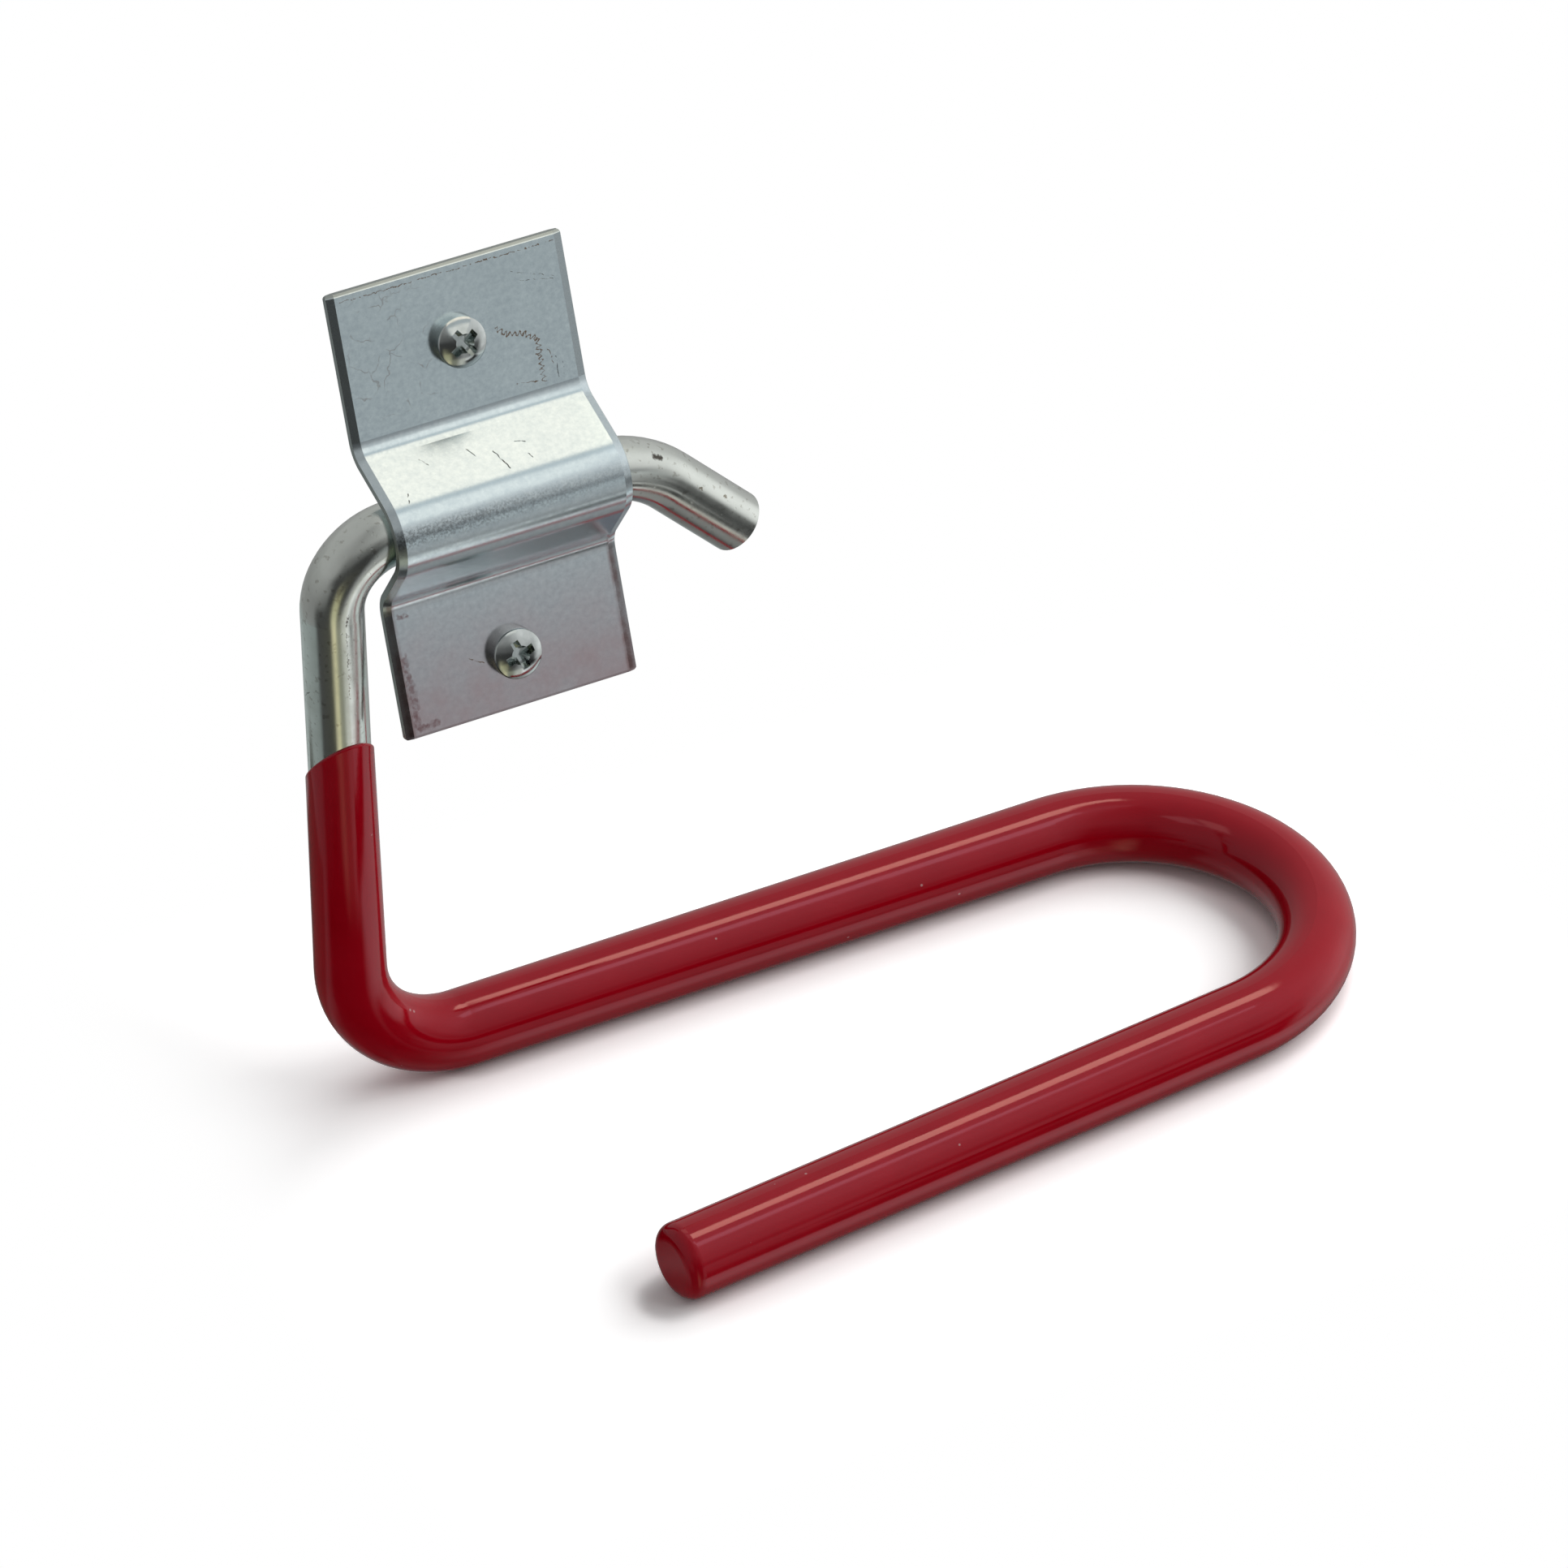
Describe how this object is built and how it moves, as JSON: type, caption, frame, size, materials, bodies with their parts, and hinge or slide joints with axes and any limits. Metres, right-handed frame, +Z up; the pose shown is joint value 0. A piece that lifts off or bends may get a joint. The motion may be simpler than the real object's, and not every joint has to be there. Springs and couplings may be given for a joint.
{
  "type": "folding wall ski holder",
  "caption": "Wall ski holder: a bent steel rod hook with a dipped plastic grip forms an open U and turns in a screw-on sheet-metal saddle bracket.",
  "frame": {"origin": "on the bracket's wall face, midway between the screws", "axes": "+X along the pivot from the leg towards the tail, +Z up along the leg, -Y the way the U sticks out; the bracket leans back from the leg by 18 degrees, as it is shown"},
  "size_m": [0.1666, 0.1065, 0.1392],
  "materials": {
    "rod_steel": "bright zinc-plated drawn steel rod",
    "grip_plastic": "glossy red dipped soft plastic",
    "bracket_steel": "satin zinc-plated sheet with fine scratches",
    "screw_steel": "bright zinc-plated screw"
  },
  "bodies": {
    "hook": {"hook_rod": "rod_steel", "grip_coat": "grip_plastic"},
    "bracket": {"saddle_bracket": "bracket_steel", "mounting_screws": "screw_steel"}
  },
  "joints": [
    {"name": "saddle_pivot", "type": "hinge", "parent": "hook", "child": "bracket", "pos_m": [0, -0.00504, 0.00164], "axis": [1, 0, 0], "continuous": true}
  ]
}
